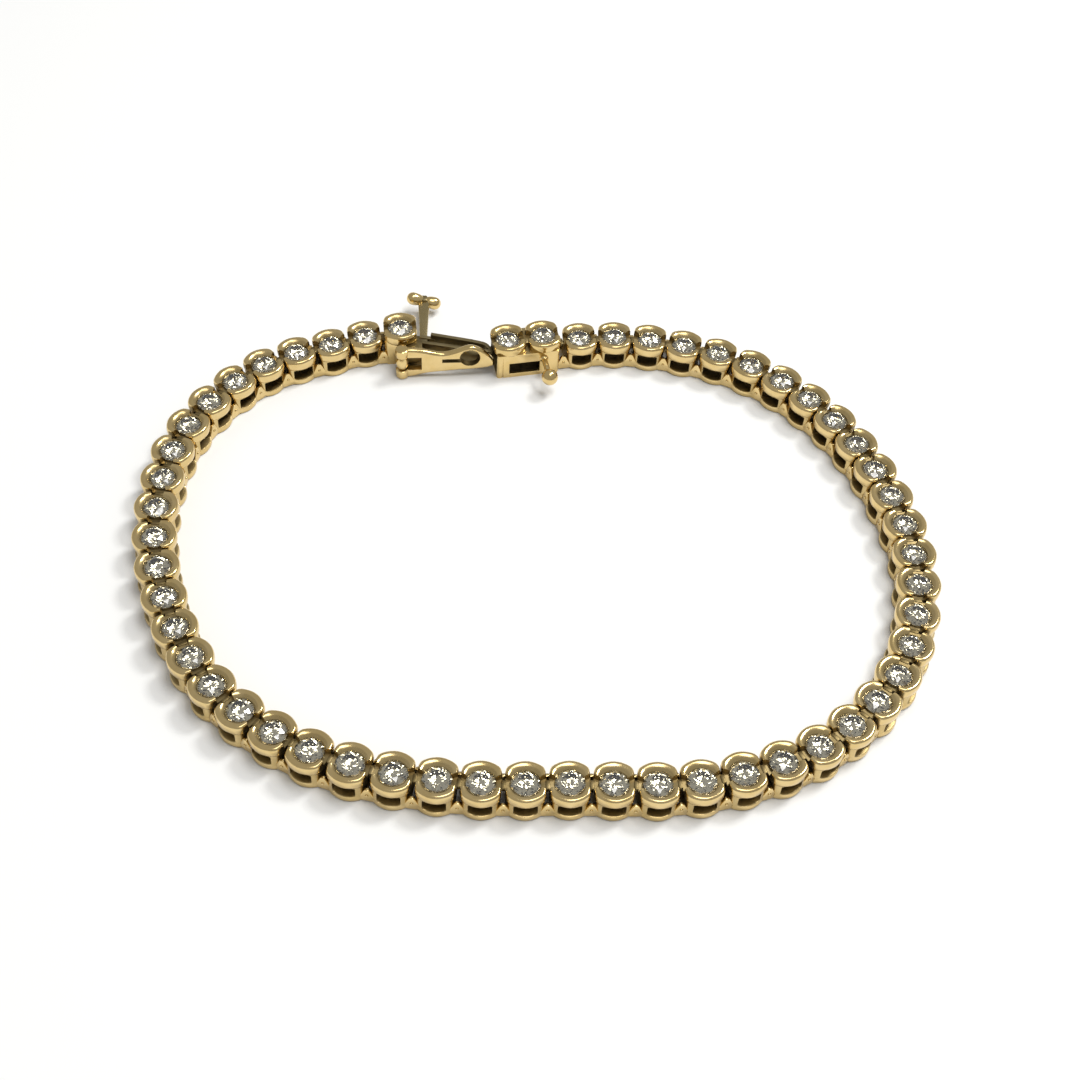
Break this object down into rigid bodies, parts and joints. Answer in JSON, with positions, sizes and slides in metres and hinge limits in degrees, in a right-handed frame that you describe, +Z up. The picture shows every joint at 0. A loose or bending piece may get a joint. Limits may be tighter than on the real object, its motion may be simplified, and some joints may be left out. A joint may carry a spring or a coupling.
{
  "type": "tennis bracelet",
  "caption": "Gold tennis bracelet of half-bezel links set with round stones, lying open at its tongue-and-box clasp with a hinged keyhole safety latch.",
  "frame": {"origin": "centre of the bounding box in plan, at the height of the surface that the bracelet lies on", "axes": "+X along the long way of the loop, with the clasp on the +Y side; +Z up, out of the stones' tables"},
  "size_m": [0.0668, 0.056, 0.0035],
  "materials": {
    "gold": "polished yellow gold with soft wear and darker recesses",
    "diamond": "faceted clear stone"
  },
  "bodies": {
    "bracelet": {"link_chain_left": "gold", "link_chain_right": "gold", "clasp_box": "gold", "clasp_tongue": "gold"},
    "safety_latch": {"safety_latch": "gold"}
  },
  "joints": [
    {"name": "safety_latch_hinge", "type": "hinge", "parent": "bracelet", "child": "safety_latch", "pos_m": [-0.01313, 0.01843, 0], "axis": [0, 0, 1], "range_deg": [-100, 0]}
  ]
}
